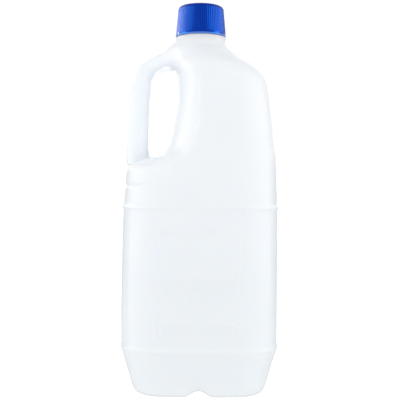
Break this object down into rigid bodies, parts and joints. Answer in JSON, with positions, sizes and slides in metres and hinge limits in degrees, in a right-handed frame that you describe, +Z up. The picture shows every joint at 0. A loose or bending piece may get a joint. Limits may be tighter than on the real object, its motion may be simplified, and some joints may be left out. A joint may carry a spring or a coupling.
{
  "type": "plastic water bottle",
  "caption": "Tall milky plastic bottle of water with a moulded side handle, a rib round its middle, a flat label panel and a ribbed blue screw cap.",
  "frame": {"origin": "middle of the bottle's footprint, on the surface that it stands on", "axes": "+Z up along the bottle, -X towards the handle, -Y towards the label panel; the mould's parting plane is Y = 0"},
  "size_m": [0.1167, 0.0978, 0.2915],
  "materials": {
    "milky_plastic": "milky white blown plastic with a soft gloss",
    "blue_plastic": "glossy blue moulded plastic"
  },
  "bodies": {
    "root": {"bottle": "milky_plastic", "cap": "blue_plastic"}
  },
  "joints": []
}
